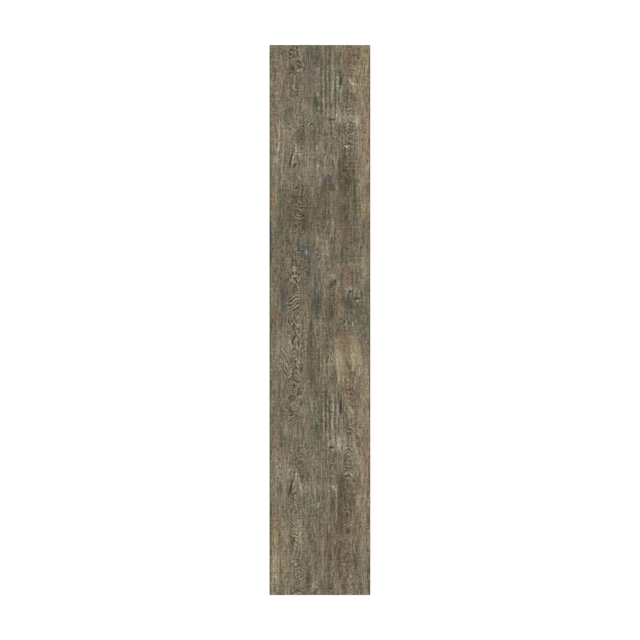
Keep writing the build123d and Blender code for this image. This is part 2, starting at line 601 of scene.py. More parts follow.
SINGLE_STAINS = (
    # Broad zones of the left board
    Stain(-94, 470, 18, 150, (3, -1, 0)),
    Stain(-98, 556, 13, 36, (-8, -5, -5)),
    Stain(-90, 375, 26, 80, grey(6)),
    Stain(-18, 350, 22, 50, grey(4)),
    Stain(-55, 150, 60, 150, grey(-6)),
    Stain(2, 250, 24, 54, (-8, -10, -9), core=0.5),
    Stain(-35, 284, 24, 20, grey(-5)),
    Stain(-16, 110, 18, 70, (-9, -6, 1)),
    Stain(-78, 40, 22, 60, (-7, -8, -4)),
    Stain(-85, -70, 32, 70, grey(3)),
    Stain(-17, -80, 18, 90, grey(-5)),
    Stain(-2, -200, 24, 55, (-1, 4, 0)),
    Stain(-90, -350, 26, 60, grey(4)),
    Stain(-82, -510, 34, 95, (8, 5, 2)),
    Stain(-45, -460, 22, 60, grey(4)),
    # Broad zones of the right board
    Stain(98, 370, 24, 290, (11, 8, 4), core=0.6),
    Stain(99, -310, 24, 280, (10, 7, 4), core=0.6),
    Stain(80, 260, 11, 64, (-8, -6, -6), core=0.5),
    Stain(72, 162, 16, 28, grey(-7)),
    Stain(80, 72, 16, 12, (-3, -6, -6)),
    Stain(68, -208, 15, 40, (6, 4, 1), core=0.5),
    Stain(94, 574, 18, 40, (5, 5, -1), core=0.5),
    Stain(95, 400, 15, 60, (4, 1, 0), core=0.5),
    Stain(96, 275, 15, 28, (-5, -5, -3)),
    Stain(97, 236, 14, 17, (0, 0, -3), core=0.5),
    Stain(94, 190, 17, 28, (-8, -10, -7), core=0.5),
    Stain(96, -80, 13, 60, (3, 1, 0)),
    Stain(94, -300, 16, 54, (6, 1, 2), core=0.5),
    Stain(88, -440, 20, 70, (0, -3, -3), core=0.5),
    Stain(32, 520, 22, 60, (-1, 4, 2)),
    Stain(45, 440, 32, 24, grey(6)),
    Stain(55, 260, 26, 130, grey(-5)),
    Stain(20, 250, 22, 60, grey(-3)),
    Stain(25, 30, 18, 60, grey(-6)),
    Stain(75, 25, 38, 40, (-7, -5, -4)),
    Stain(62, -85, 32, 60, (8, 6, 0), core=0.5),
    Stain(45, -270, 38, 28, grey(8)),
    Stain(45, -400, 28, 70, grey(-4)),
    Stain(38, -500, 38, 80, (-1, -5, -4), core=0.5),
    # Left board, from the top
    Stain(-94, 550, 13, 60, (5, 1, 2)),
    Stain(-20, 559, 19, 50, (-7, -5, -2), core=0.6),
    Stain(-8, 582, 12, 28, (-15, -13, -8), core=0.5),
    Stain(-8, 472, 9, 22, (-12, -3, -4)),
    Stain(-6, 474, 3, 14, (-16, -10, -9)),
    Stain(-76, 438, 11, 20, (-8, -1, -5)),
    Stain(-20, 442, 18, 20, (-5, 0, -5)),
    Stain(-54, 396, 14, 13, (-1, -5, -5)),
    Stain(-72, 402, 3, 20, (8, 6, -5)),
    Stain(-85, 422, 14, 20, grey(3.5)),
    Stain(-94, 325, 14, 40, grey(5)),
    Stain(-84, 284, 12, 10, grey(-8, 1)),
    Stain(-100, 262, 8, 20, (5, -2, -8), core=0.5),
    Stain(-85, 262, 9, 22, (-17, -7, -13), core=0.5),
    Stain(-45, 230, 34, 50, grey(-8)),
    Stain(-35, 215, 12, 30, grey(-6)),
    Stain(-86, 205, 16, 44, (-9, -4, -7)),
    Stain(-20, 195, 16, 14, (3, -1, -3)),
    Stain(-14, 320, 14, 18, grey(-6)),
    Stain(-60, -182, 16, 26, grey(-6)),
    Stain(-42, -20, 14, 20, grey(-5)),
    Stain(-40, -470, 8, 12, grey(-6)),
    Stain(-100, -318, 9, 22, grey(-8)),
    Stain(-76, -548, 12, 18, grey(-6)),
    Stain(-32, 158, 20, 22, (-14, -5, 3), core=0.5),
    Stain(-29, 147, 2.4, 6, (48, 54, 56), core=0.5, crisp=True),
    Stain(-39, 150, 2.4, 4, grey(-24), crisp=True),
    Stain(-4, 156, 2.6, 4, grey(-40), crisp=True),
    Stain(-5, 143, 3, 4, grey(-38), crisp=True),
    Stain(-8, 150, 2, 4, grey(18), crisp=True),
    Stain(-8, 172, 6, 10, (8, 0, -5)),
    Stain(-58, 134, 14, 10, (-4, 3, -5)),
    Stain(-22, 130, 12, 12, (-6, -6, -2)),
    Stain(-44, 108, 9, 8, (1, -8, -5)),
    Stain(-25, 104, 9, 12, grey(-14)),
    Stain(-60, 90, 14, 26, grey(4, 3)),
    Stain(-6, 80, 6, 12, (-14, -16, -3)),
    Stain(-88, 108, 20, 44, grey(-3)),
    Stain(-77, 56, 10, 18, (-9, -13, -6)),
    Stain(-77, 31, 10, 12, (-16, -6, -3)),
    Stain(-6, 36, 10, 40, (-24, -15, -9), core=0.5),
    Stain(-18, 24, 5, 14, grey(-12)),
    Stain(-30, 40, 8, 20, (-1, 3, -6)),
    Stain(-96, 10, 12, 13, (10, 2, -5), core=0.5),
    Stain(-58, 10, 10, 8, (-3, -10, -8)),
    Stain(-86, -60, 18, 60, grey(4)),
    Stain(-54, -62, 17, 62, grey(2)),
    Stain(-16, -75, 11, 62, grey(-5, 1), core=0.5),
    Stain(-20, -16, 3, 16, grey(-10), crisp=True),
    Stain(2.5, -12, 2, 20, grey(14), crisp=True),
    Stain(-12, -130, 10, 14, grey(-11)),
    Stain(-19, -118, 6, 26, grey(-7)),
    Stain(-10, -155, 13, 22, (-10, -10, -3), core=0.5),
    Stain(-30, -202, 10, 10, (3, 8, 3)),
    Stain(-8, -250, 9, 38, (-11, -4, -8), core=0.5),
    Stain(-7, -236, 3, 14, (-10, -6, -9)),
    Stain(-55, -239, 16, 8, (6, -4, -3), core=0.5),
    Stain(-74, -262, 14, 20, (-9, -1, -6)),
    Stain(-25, -285, 14, 12, (-5, -1, -5)),
    Stain(-94, -295, 14, 60, (5, 1, 1)),
    Stain(-55, -312, 13, 10, (1, -5, -5)),
    Stain(-88, -353, 18, 11, (4, -1, 0), core=0.5),
    Stain(-22, -402, 22, 20, (-5, 0, -3), core=0.5),
    Stain(-3, -402, 2.4, 5, (28, 34, 24), core=0.5, crisp=True),
    Stain(-85, -400, 16, 30, grey(4)),
    Stain(-98, -434, 8, 19, (7, -3, -7), core=0.5),
    Stain(-80, -440, 10, 18, (0, 3, 4)),
    Stain(-46, -462, 12, 30, grey(9)),
    Stain(-62, -484, 9, 28, (3, -3, -6)),
    Stain(-97, -472, 10, 20, (12, 11, -2), core=0.5),
    Stain(-78, -465, 10, 24, (7, 4, 3)),
    Stain(-27, -470, 8, 34, grey(4)),
    Stain(-12, -505, 8, 16, grey(-8)),
    Stain(-97, -552, 12, 52, (12, 11, 6), core=0.5),
    Stain(-24, -565, 10, 38, grey(-9)),
    Stain(-9, -578, 8, 18, grey(9)),
    # Right board, from the top
    Stain(63, 572, 20, 32, (3, -5, -7), core=0.6),
    Stain(62, 565, 12, 13, grey(-7), core=0.5),
    Stain(60, 589, 12, 12, grey(4)),
    Stain(80, 520, 12, 40, (9, 6, 2), core=0.5),
    Stain(14, 500, 12, 60, (-2, 0, -3)),
    Stain(78, 398, 8, 30, (0, 3, 2)),
    Stain(28, 395, 20, 28, (-4, 0, -4)),
    Stain(78, 298, 8, 16, (-9, -4, -6)),
    Stain(19, 305, 19, 11, (-12, -14, -5), core=0.7),
    Stain(19, 288, 19, 10, (-13, -8, -12), core=0.6),
    Stain(14, 258, 9, 20, (5, -2, 0)),
    Stain(30, 266, 2.4, 6, grey(18), crisp=True),
    Stain(53, 228, 14, 50, (-3, -8, -8), core=0.5),
    Stain(75, 256, 8, 32, (-13, -8, -10), core=0.5),
    Stain(97, 236, 11, 13, (4, 3, -8), core=0.6),
    Stain(17, 214, 2.4, 9, grey(24), core=0.4, crisp=True),
    Stain(20, 212, 16, 26, (4, -1, 0)),
    Stain(52, 178, 14, 18, (1, -8, -8)),
    Stain(78, 178, 7, 14, grey(-8)),
    Stain(10, 150, 9, 26, grey(5)),
    Stain(58, 142, 24, 18, (-11, -6, -11), core=0.5),
    Stain(44, 114, 12, 12, (9, 6, 6), core=0.5),
    Stain(60, 100, 13, 24, (4, -4, -3), core=0.5),
    Stain(70, 94, 2.6, 18, (-6, -18, -16), core=0.4, crisp=True),
    Stain(29, 97, 8, 9, (12, 17, 17), core=0.5),
    Stain(28, 78, 9, 8, grey(-16), core=0.4, crisp=True),
    Stain(33, 84, 4, 6, grey(-32), core=0.4, crisp=True),
    Stain(41, 78, 3, 10, grey(18), crisp=True),
    Stain(17, 58, 2.4, 10, grey(20), core=0.4, crisp=True),
    Stain(64, 66, 8, 7, grey(16), crisp=True),
    Stain(66, 62, 3.4, 4, grey(-48), core=0.5, crisp=True),
    Stain(78, 70, 5, 6, grey(14)),
    Stain(29, 36, 9, 34, (-8, -9, -11), core=0.6),
    Stain(43, 46, 8, 26, (6, 3, -5), core=0.5),
    Stain(43, 30, 6, 10, (7, 1, -7)),
    Stain(60, 42, 11, 16, (-18, -12, -12), core=0.5),
    Stain(69, 30, 6, 11, (-12, -14, -6)),
    Stain(81, 47, 9, 2.6, grey(-34), core=0.4, crisp=True),
    Stain(82, 41, 4, 3, grey(30), core=0.4, crisp=True),
    Stain(97, 62, 13, 10, (-12, -5, 2), core=0.6),
    Stain(93, 28, 13, 18, grey(-5)),
    Stain(27, 9, 9, 10, (-8, -14, -14), core=0.5),
    Stain(43, 8, 6, 8, (2, -11, -9)),
    Stain(46, 1, 2.4, 3, grey(-30), crisp=True),
    Stain(78, 0, 10, 5, (3, 7, 3)),
    Stain(72, -9, 2.4, 4.5, (34, 36, 32), core=0.5, crisp=True),
    Stain(80, -8, 32, 13, (-6, -2, -5), core=0.6),
    Stain(28, -9, 28, 11, (-4, -2, -4.5), core=0.6),
    Stain(38, -28, 36, 8, (-2, -10, -10), core=0.6),
    Stain(12, -52, 11, 22, (2, -5, -3)),
    Stain(40, -56, 11, 24, (10, 6, 4), core=0.5),
    Stain(39, -98, 12, 36, (8, 7, 6), core=0.5),
    Stain(46, -50, 9, 14, (7, 0, -6)),
    Stain(60, -46, 7, 16, (0, -6, -5)),
    Stain(78, -82, 11, 52, (11, 11, 7), core=0.6),
    Stain(45, -102, 14, 36, (10, 10, 6), core=0.6),
    Stain(20, -85, 16, 46, (5, 5, 2)),
    Stain(64, -106, 2.6, 24, grey(-18), lean=-0.36, core=0.5, crisp=True),
    Stain(64.5, -122, 2.4, 10, grey(-18), lean=-0.6, core=0.5, crisp=True),
    Stain(60, -55, 14, 20, (3, -3, -3), core=0.5),
    Stain(96, -80, 10, 44, (3, 2, 0)),
    Stain(95, -76, 2.2, 18, grey(-16), crisp=True),
    Stain(50, -129, 24, 10, (6, 4, 0)),
    Stain(60, -154, 18, 18, (3, -5, -7), core=0.6),
    Stain(97, -156, 11, 22, (4, 5, -2), core=0.6),
    Stain(46, -193, 3.4, 22, grey(-16), core=0.4, crisp=True),
    Stain(39.5, -190, 2.4, 18, (12, 12, 17), core=0.4, crisp=True),
    Stain(62, -252, 18, 14, grey(4)),
    Stain(82, -330, 8, 28, (3, 4, 2)),
    Stain(27, -325, 10, 28, (-1, 3, -1)),
    Stain(10, -328, 7, 18, (-3, -9, -8)),
    Stain(28, -406, 9, 15, grey(-13), core=0.6),
    Stain(50, -446, 24, 24, (-3, -7, -7), core=0.5),
    Stain(20, -470, 18, 22, (-6, -10, -9)),
    Stain(42, -515, 11, 28, (-1, -5, -5), core=0.6),
    Stain(25, -515, 6, 26, grey(-11)),
    Stain(79, -520, 9, 30, (-11, -7, -5), core=0.5),
    Stain(39, -566, 2.4, 26, (14, 6, 6), core=0.4, crisp=True),
    Stain(52, -572, 8, 24, (-5, -12, -11)),
    Stain(80, -577, 9, 18, (7, 0, 5)),
    Stain(20, -585, 17, 12, (-9, -5, -8)),
    # Pale and dark stretches along the ends
    Stain(88, 597, 24, 8, (8, 8, 9), core=0.6, crisp=True),
    Stain(40, 597, 16, 6, (3, 4, 5), core=0.5, crisp=True),
    Stain(85, -597, 25, 8, grey(6), core=0.6, crisp=True),
    Stain(40, -597, 14, 8, grey(-4), core=0.5, crisp=True),
    Stain(-82, -597, 26, 8, grey(5), core=0.6, crisp=True),
    # Ink that gathers along the long edges
    Stain(-109, 172, 4, 60, (-30, -27, -18), core=0.5, crisp=True),
    Stain(-109, 0, 2.6, 640, grey(-10), core=0.8, crisp=True),
    Stain(109.4, 150, 1.9, 460, (-19, -16, -2), core=0.8, crisp=True),
    Stain(109.4, -380, 1.9, 240, (-11, -8, 0), core=0.8, crisp=True),
)

REPEATED_RIPPLES = (
    Ripple(25, 490, 30, 120, 0.105, 0.0, 9),
    Ripple(-59, 585, 17, 20, 0.10, 0.13, 26, Pattern.ZIGZAG),
    Ripple(-46, 558, 12, 19, 0.15, 0.1, 20, Pattern.ROUND),
    Ripple(-62, 545, 10, 16, 0.12, 0.09, 15, Pattern.ZIGZAG),
    Ripple(-60, 506, 14, 20, 0.09, 0.14, 18, Pattern.ZIGZAG),
    Ripple(-25, 432, 15, 13, -0.11, 0.13, 17),
    Ripple(-52, 420, 15, 11, -0.07, 0.14, 19, Pattern.CHEVRON),
    Ripple(63, 472, 10, 24, 0.1, 0.14, 20, Pattern.ZIGZAG),
    Ripple(63, 420, 10, 28, 0.10, 0.12, 19, Pattern.CHEVRON),
    Ripple(62, 380, 11, 34, 0.10, 0.12, 21, Pattern.ZIGZAG),
    Ripple(67, 550, 11, 14, 0.12, 0.14, 18, Pattern.CHEVRON),
)

SINGLE_RIPPLES = (
    # Left board
    Ripple(-44, 282, 12, 26, 0.125, 0.04, 17, Pattern.ROUND),
    Ripple(-43, 247, 12, 19, 0.03, 0.125, 20),
    Ripple(-43, 224, 12, 15, -0.1, 0.115, 24, Pattern.CHEVRON),
    Ripple(-44, 202, 11, 15, -0.13, 0.09, 20),
    Ripple(-46, 141, 14, 19, 0.01, 0.19, 16),
    Ripple(-88, 105, 20, 50, 0.13, 0.04, 8, Pattern.ZIGZAG),
    Ripple(-32, 100, 12, 30, 0.12, 0.1, 11, Pattern.ZIGZAG),
    Ripple(-54, 96, 20, 30, 0.13, 0.06, 22, Pattern.ZIGZAG),
    Ripple(-56, 40, 17, 25, -0.075, 0.13, 30),
    Ripple(-56, -4, 17, 22, 0.13, 0.05, 19, Pattern.ZIGZAG),
    Ripple(-53, -44, 20, 36, 0.15, 0.035, 21, Pattern.ZIGZAG),
    Ripple(-52, -98, 19, 34, 0.12, 0.09, 18, Pattern.CHEVRON),
    Ripple(-76, -95, 11, 45, 0.12, 0.06, 19),
    Ripple(-76, 30, 10, 40, -0.1, 0.1, 10),
    Ripple(-57, -219, 17, 12, -0.1, 0.14, 21),
    Ripple(-56, -404, 15, 18, 0.1, 0.14, 13, Pattern.ZIGZAG),
    Ripple(-60, -443, 11, 15, 0.14, 0.135, 24),
    Ripple(-51, -468, 14, 34, -0.11, 0.12, 20, Pattern.CHEVRON),
    Ripple(-60, -485, 10, 28, 0.12, 0.1, 16),
    Ripple(-52, -525, 15, 18, 0.12, 0.12, 16, Pattern.ZIGZAG),
    Ripple(-46, -542, 14, 14, 0.08, 0.13, 15, Pattern.CHEVRON),
    Ripple(-45, -561, 12, 11, -0.1, 0.125, 20),
    Ripple(-48, -594, 15, 14, 0.1, 0.12, 16, Pattern.CHEVRON),
    Ripple(-9, -582, 9, 20, 0.16, 0.08, 13, Pattern.ROUND),
    # Right board
    Ripple(17, 172, 16, 14, 0.0, 0.15, 8),
    Ripple(62, 315, 10, 32, 0.12, 0.14, 13, Pattern.ZIGZAG),
    Ripple(65, 64, 11, 11, 0.16, 0.16, 12, Pattern.ROUND),
    Ripple(82, 45, 10, 8, 0.01, 0.18, 12),
    Ripple(18, -95, 20, 30, 0.11, 0.0, 10),
    Ripple(62, -415, 9, 24, 0.12, 0.14, 18, Pattern.ZIGZAG),
    Ripple(62, -520, 10, 16, 0.1, 0.13, 15, Pattern.ZIGZAG),
    Ripple(12, -540, 12, 45, 0.11, 0.0, 6),
    Ripple(18, -584, 18, 12, 0.0, 0.16, 13),
)

REPEATED_QUIET = (
    QuietPatch(-55, 462, 24, 24),
    QuietPatch(-33, 490, 11, 55, 0.7),
)

SINGLE_QUIET = (
    QuietPatch(-68, 240, 11, 60),
    QuietPatch(-52, 176, 24, 14),
    QuietPatch(50, 225, 20, 55, 0.65),
    QuietPatch(64, -72, 27, 66, 0.7),
)

PATCH_INPUTS = {"Place": "Vector", "Centre": "Vector", "Half": "Vector"}
Mark = TypeVar("Mark", bound=Patch)


def laid(single: tuple[Mark, ...], repeated: tuple[Mark, ...]) -> Iterator[tuple[Mark, dict[str, Operand]]]:
    """Gives the marks of the print in the order that they are laid, the repeated ones twice.

    Args:
        single: marks that are there once.
        repeated: marks that come again further along.
    Returns:
        Each mark with the group inputs for its spot.
    """
    for mark in single:
        yield mark, mark.spot(0.0)
    for mark in repeated:
        yield mark, mark.spot(0.0)
        yield mark, mark.spot(REPEAT)


@dataclass(frozen=True)
class Finish:
    """Matt surface with fine relief. The bump's depth is in metres."""

    roughness: float = 0.8
    rough_change: float = 0.08
    specular: float = 0.3
    bump_strength: float = 0.3
    bump_depth: float = 0.0002

    @staticmethod
    def start(name: str) -> tuple[bpy.types.Material, Loom]:
        """Starts a material.

        Args:
            name: the material's name.
        Returns:
            The material, without nodes, and a loom on it.
        """
        material = bpy.data.materials.new(name)
        material.use_nodes = True
        material.node_tree.nodes.clear()
        return material, Loom(material.node_tree)

    def end(self, loom: Loom, colour: Socket, roughness: Socket, height: Socket) -> None:
        """Ends the material in its shader.

        Args:
            loom: where the nodes go.
            colour: the surface's colour.
            roughness: its roughness.
            height: its fine relief, for the bump.
        """
        bump = loom.call(
            "ShaderNodeBump", {"Height": height, "Strength": self.bump_strength, "Distance": self.bump_depth}
        )
        shader = loom.call(
            "ShaderNodeBsdfPrincipled",
            {
                "Base Color": colour,
                "Roughness": roughness,
                "Normal": bump,
                "Specular IOR Level": self.specular,
            },
        )
        loom.feed(loom.node("ShaderNodeOutputMaterial"), {"Surface": shader})


@dataclass(frozen=True)
class PrintedGlaze(Finish):
    """Matt glaze with the printed boards, on the face and its bevels. Lengths on them are millimetres."""

    roughness: float = 0.62
    rough_change: float = 0.03
    bump_strength: float = 0.25
    bump_depth: float = 0.0001
    palette: WoodPalette = WoodPalette()
    boards: Boards = Boards()

    # Strength of the grain in 8-bit levels, and the share of the face that its pores darken
    fibre_levels: float = 14.0
    fleck_levels: float = 11.0
    cloud_levels: float = 2.5
    figure_levels: float = 22.0
    saw_levels: float = 4.5
    hair_levels: float = 8.0
    pore_levels: float = 30.0
    pore_share: float = 0.095

    # Strength, folds and soft edges of the marks; an edge lies between shares of the patch's half size
    stain_depth: float = 1.6
    stain_hue: float = 0.95
    stain_edge: float = 1.15
    ridge_gain: float = 1.6
    ridge_jag: float = 0.05
    zigzag_fold: float = 7.5
    patch_edge: tuple[float, float] = (1.1, 0.5)

    # Ink that darkens the bevels
    bevel_shade: float = -48.0
    bevel_blur: float = 0.2

    def tint(self, shade: Levels) -> Colour:
        """Linear multiplier of a stain, with its depth and its hue set apart."""
        depth = sum(shade) / len(shade)
        changed = (depth * self.stain_depth + (level - depth) * self.stain_hue for level in shade)
        return self.palette.tint(tuple(changed))

    def build(self, half_width: float, bevel_width: float) -> bpy.types.Material:
        """Builds the material.

        Args:
            half_width: half the tile's width.
            bevel_width: width of the long bevels.
        Returns:
            The material.
        """
        material, loom = self.start("printed_glaze")

        def carried(name: str, output: str = "Vector") -> Socket:
            """What the mesh carries under a name."""
            return loom.call("ShaderNodeAttribute", {}, output, attribute_name=name)

        metres = loom.node("ShaderNodeTexCoord").outputs["Object"]
        place = loom.vector("MULTIPLY", metres, (1 / MM, 1 / MM, 0))
        grain = loom.group(self.boards.weave(TreeKind.SHADER), {"Place": place})
        fibre, fleck, figure = self.quieted(loom, grain, carried(QUIET))
        tone = loom.weighted(
            (fibre, self.fibre_levels),
            (fleck, self.fleck_levels),
            (grain.outputs["Cloud"], self.cloud_levels),
            (figure, self.figure_levels),
            (grain.outputs["Saw"], self.saw_levels),
            (grain.outputs["Hair"], self.hair_levels),
            (loom.math("SUBTRACT", self.pore_share, grain.outputs["Pore"]), self.pore_levels),
            (self.ridge_lines(loom, carried(RIDGES), grain.outputs["Fleck"]), 1.0),
        )
        colour = loom.mixed(1.0, self.palette.ramp(loom, tone), carried(MARKS, "Color"), "MULTIPLY")
        across, _ = loom.split(place)
        flat = half_width - bevel_width
        bevel = loom.ease(loom.math("ABSOLUTE", across), flat - self.bevel_blur, flat + self.bevel_blur)
        colour = loom.mixed(bevel, colour, self.palette.tint(grey(self.bevel_shade)), "MULTIPLY")
        rough = loom.math("MULTIPLY_ADD", grain.outputs["Fleck"], self.rough_change, self.roughness)
        height = loom.math("SUBTRACT", loom.math("ADD", fibre, fleck), grain.outputs["Pore"])
        self.end(loom, colour, rough, height)
        return material

    @staticmethod
    def quieted(loom: Loom, grain: bpy.types.Node, quiet: Socket) -> tuple[Socket, Socket, Socket]:
        """Fades the boards' own grain in the quiet patches.

        Args:
            loom: where the nodes go.
            grain: the boards' grain.
            quiet: shares of the rings and of the fibre that stay, as a vector.
        Returns:
            What is left of the fibre, the flecks and the ring lines.
        """
        rings_kept, fibre_kept = loom.split(quiet)
        shares = (("Fibre", fibre_kept), ("Fleck", fibre_kept), ("Figure", rings_kept))
        return tuple(loom.math("MULTIPLY", grain.outputs[name], share) for name, share in shares)

    def ridge_lines(self, loom: Loom, ridges: Socket, jag: Socket) -> Socket:
        """Turns the stored count of turns and contrast into light and dark lines.

        Args:
            loom: where the nodes go.
            ridges: turns and contrast, as a vector.
            jag: fine noise that breaks up the lines.
        Returns:
            The lines, in levels.
        """
        turns, levels = loom.split(ridges)
        ragged = loom.math("MULTIPLY_ADD", jag, self.ridge_jag, turns)
        return loom.math("MULTIPLY", loom.math("SINE", loom.math("MULTIPLY", ragged, math.tau)), levels)

    def stain_group(self) -> Tree:
        """Builds the group that lays one stain over a colour.

        Returns:
            The group's tree.
        """
        loom, given, result = new_group(
            "print_stain",
            TreeKind.GEOMETRY,
            {"Color": "Color", **PATCH_INPUTS, "Lean": "Float", "Core": "Float", "Tint": "Color"},
            {"Color": "Color"},
        )
        across, along = loom.split(loom.vector("SUBTRACT", given["Place"], given["Centre"]))
        upright = loom.math("SUBTRACT", across, loom.math("MULTIPLY", given["Lean"], along))
        reach = loom.reach(loom.join(upright, along), given["Half"])
        mask = loom.ease(reach, self.stain_edge, given["Core"])
        loom.feed(result, {"Color": loom.mixed(mask, given["Color"], given["Tint"], "MULTIPLY")})
        return loom.tree

    def stains(self, loom: Loom, place: Socket, bleed: Socket) -> Socket:
        """Lays every stain of the print.

        Args:
            loom: where the nodes go.
            place: place on the face.
            bleed: the same, drawn along the grain.
        Returns:
            The tint, as a multiplier of the grain's colour.
        """
        group = self.stain_group()
        colour: Operand = WHITE
        for mark, spot in laid(SINGLE_STAINS, REPEATED_STAINS):
            stain = {
                "Color": colour,
                "Place": place if mark.crisp else bleed,
                "Lean": mark.lean,
                "Core": mark.core,
                "Tint": self.tint(mark.shade),
            }
            colour = loom.group(group, spot | stain).outputs[0]
        return colour

    def masked(self, loom: Loom, given: dict[str, Socket]) -> tuple[Socket, Socket]:
        """Place from the middle of a group's patch, and a mask that is 1 inside the patch."""
        offset = loom.vector("SUBTRACT", given["Place"], given["Centre"])
        return offset, loom.ease(loom.reach(offset, given["Half"]), *self.patch_edge)

    def ripple_group(self, pattern: Pattern) -> Tree:
        """Builds the group that lays one patch of ridges where it is stronger than what lies there.

        Args:
            pattern: how the ridges run.
        Returns:
            The group's tree.
        """
        lines = {"Turns": "Float", "Levels": "Float"}
        loom, given, result = new_group(
            f"print_ripple_{pattern.name.lower()}",
            TreeKind.GEOMETRY,
            {**lines, **PATCH_INPUTS, "Rate": "Vector", "Contrast": "Float"},
            lines,
        )
        offset, mask = self.masked(loom, given)
        turns, levels = given["Turns"], given["Levels"]
        own_levels = loom.math("MULTIPLY", mask, given["Contrast"])
        stronger = loom.math("GREATER_THAN", own_levels, levels)
        change = loom.math("SUBTRACT", self.turns_in(loom, pattern, offset, given["Rate"]), turns)
        loom.feed(
            result,
            {
                "Turns": loom.math("MULTIPLY_ADD", stronger, change, turns),
                "Levels": loom.math("MAXIMUM", own_levels, levels),
            },
        )
        return loom.tree

    def turns_in(self, loom: Loom, pattern: Pattern, offset: Socket, rate: Socket) -> Socket:
        """Counts the ridges of a patch from its middle.

        Args:
            loom: where the nodes go.
            pattern: how the ridges run.
            offset: place from the middle of the patch.
            rate: ridges a millimetre, across and along.
        Returns:
            How many ridges lie between the middle and the place.
        """
        if pattern is Pattern.ROUND:
            return loom.vector("LENGTH", loom.vector("MULTIPLY", offset, rate), output=1)
        across, along = loom.split(offset)
        if pattern is Pattern.CHEVRON:
            across = loom.math("ABSOLUTE", across)
        elif pattern is Pattern.ZIGZAG:
            across = loom.math("PINGPONG", across, self.zigzag_fold)
        return loom.vector("DOT_PRODUCT", loom.join(across, along), rate, output=1)

    def ripples(self, loom: Loom, wavy: Socket, curly: Socket) -> Socket:
        """Lays every patch of ridges of the print.

        Args:
            loom: where the nodes go.
            wavy: place on the face, bent a little this way and that.
            curly: the same, bent more.
        Returns:
            Turns and contrast of the ridges, as a vector.
        """
        groups = {pattern: self.ripple_group(pattern) for pattern in Pattern}
        turns: Operand = 0.0
        levels: Operand = 0.0
        for mark, spot in laid(SINGLE_RIPPLES, REPEATED_RIPPLES):
            ripple = {
                "Turns": turns,
                "Levels": levels,
                "Place": curly if mark.pattern in (Pattern.ZIGZAG, Pattern.ROUND) else wavy,
                "Rate": (mark.rate_across, mark.rate_along, 0),
                "Contrast": mark.contrast * self.ridge_gain,
            }
            turns, levels = loom.group(groups[mark.pattern], spot | ripple).outputs
        return loom.join(turns, levels)

    def quiet_group(self) -> Tree:
        """Builds the group that quiets the boards' rings and fibre in one patch.

        Returns:
            The group's tree.
        """
        shares = {"Shares": "Vector"}
        loom, given, result = new_group(
            "print_quiet", TreeKind.GEOMETRY, {**shares, **PATCH_INPUTS, "Kept": "Vector"}, shares
        )
        _, mask = self.masked(loom, given)
        kept = loom.call("ShaderNodeMix", {0: mask, 4: WHITE[:3], 5: given["Kept"]}, 1, data_type="VECTOR")
        loom.feed(result, {"Shares": loom.vector("MULTIPLY", given["Shares"], kept)})
        return loom.tree

    def quiet(self, loom: Loom, wavy: Socket) -> Socket:
        """Lays every quiet patch of the boards.

        Args:
            loom: where the nodes go.
            wavy: place on the face, bent a little this way and that.
        Returns:
            Shares of the rings and of the fibre that stay, as a vector.
        """
        group = self.quiet_group()
        shares: Operand = WHITE[:3]
        for mark, spot in laid(SINGLE_QUIET, REPEATED_QUIET):
            patch = {"Shares": shares, "Place": wavy, "Kept": (0.0, mark.fibre, 1.0)}
            shares = loom.group(group, spot | patch).outputs[0]
        return shares


@dataclass(frozen=True)
class Speckle:
    """Noise in the fired body: features a metre, finer octaves, and the values between which it comes in."""

    scale: float
    octaves: int
    start: float = 0.0
    end: float = 1.0


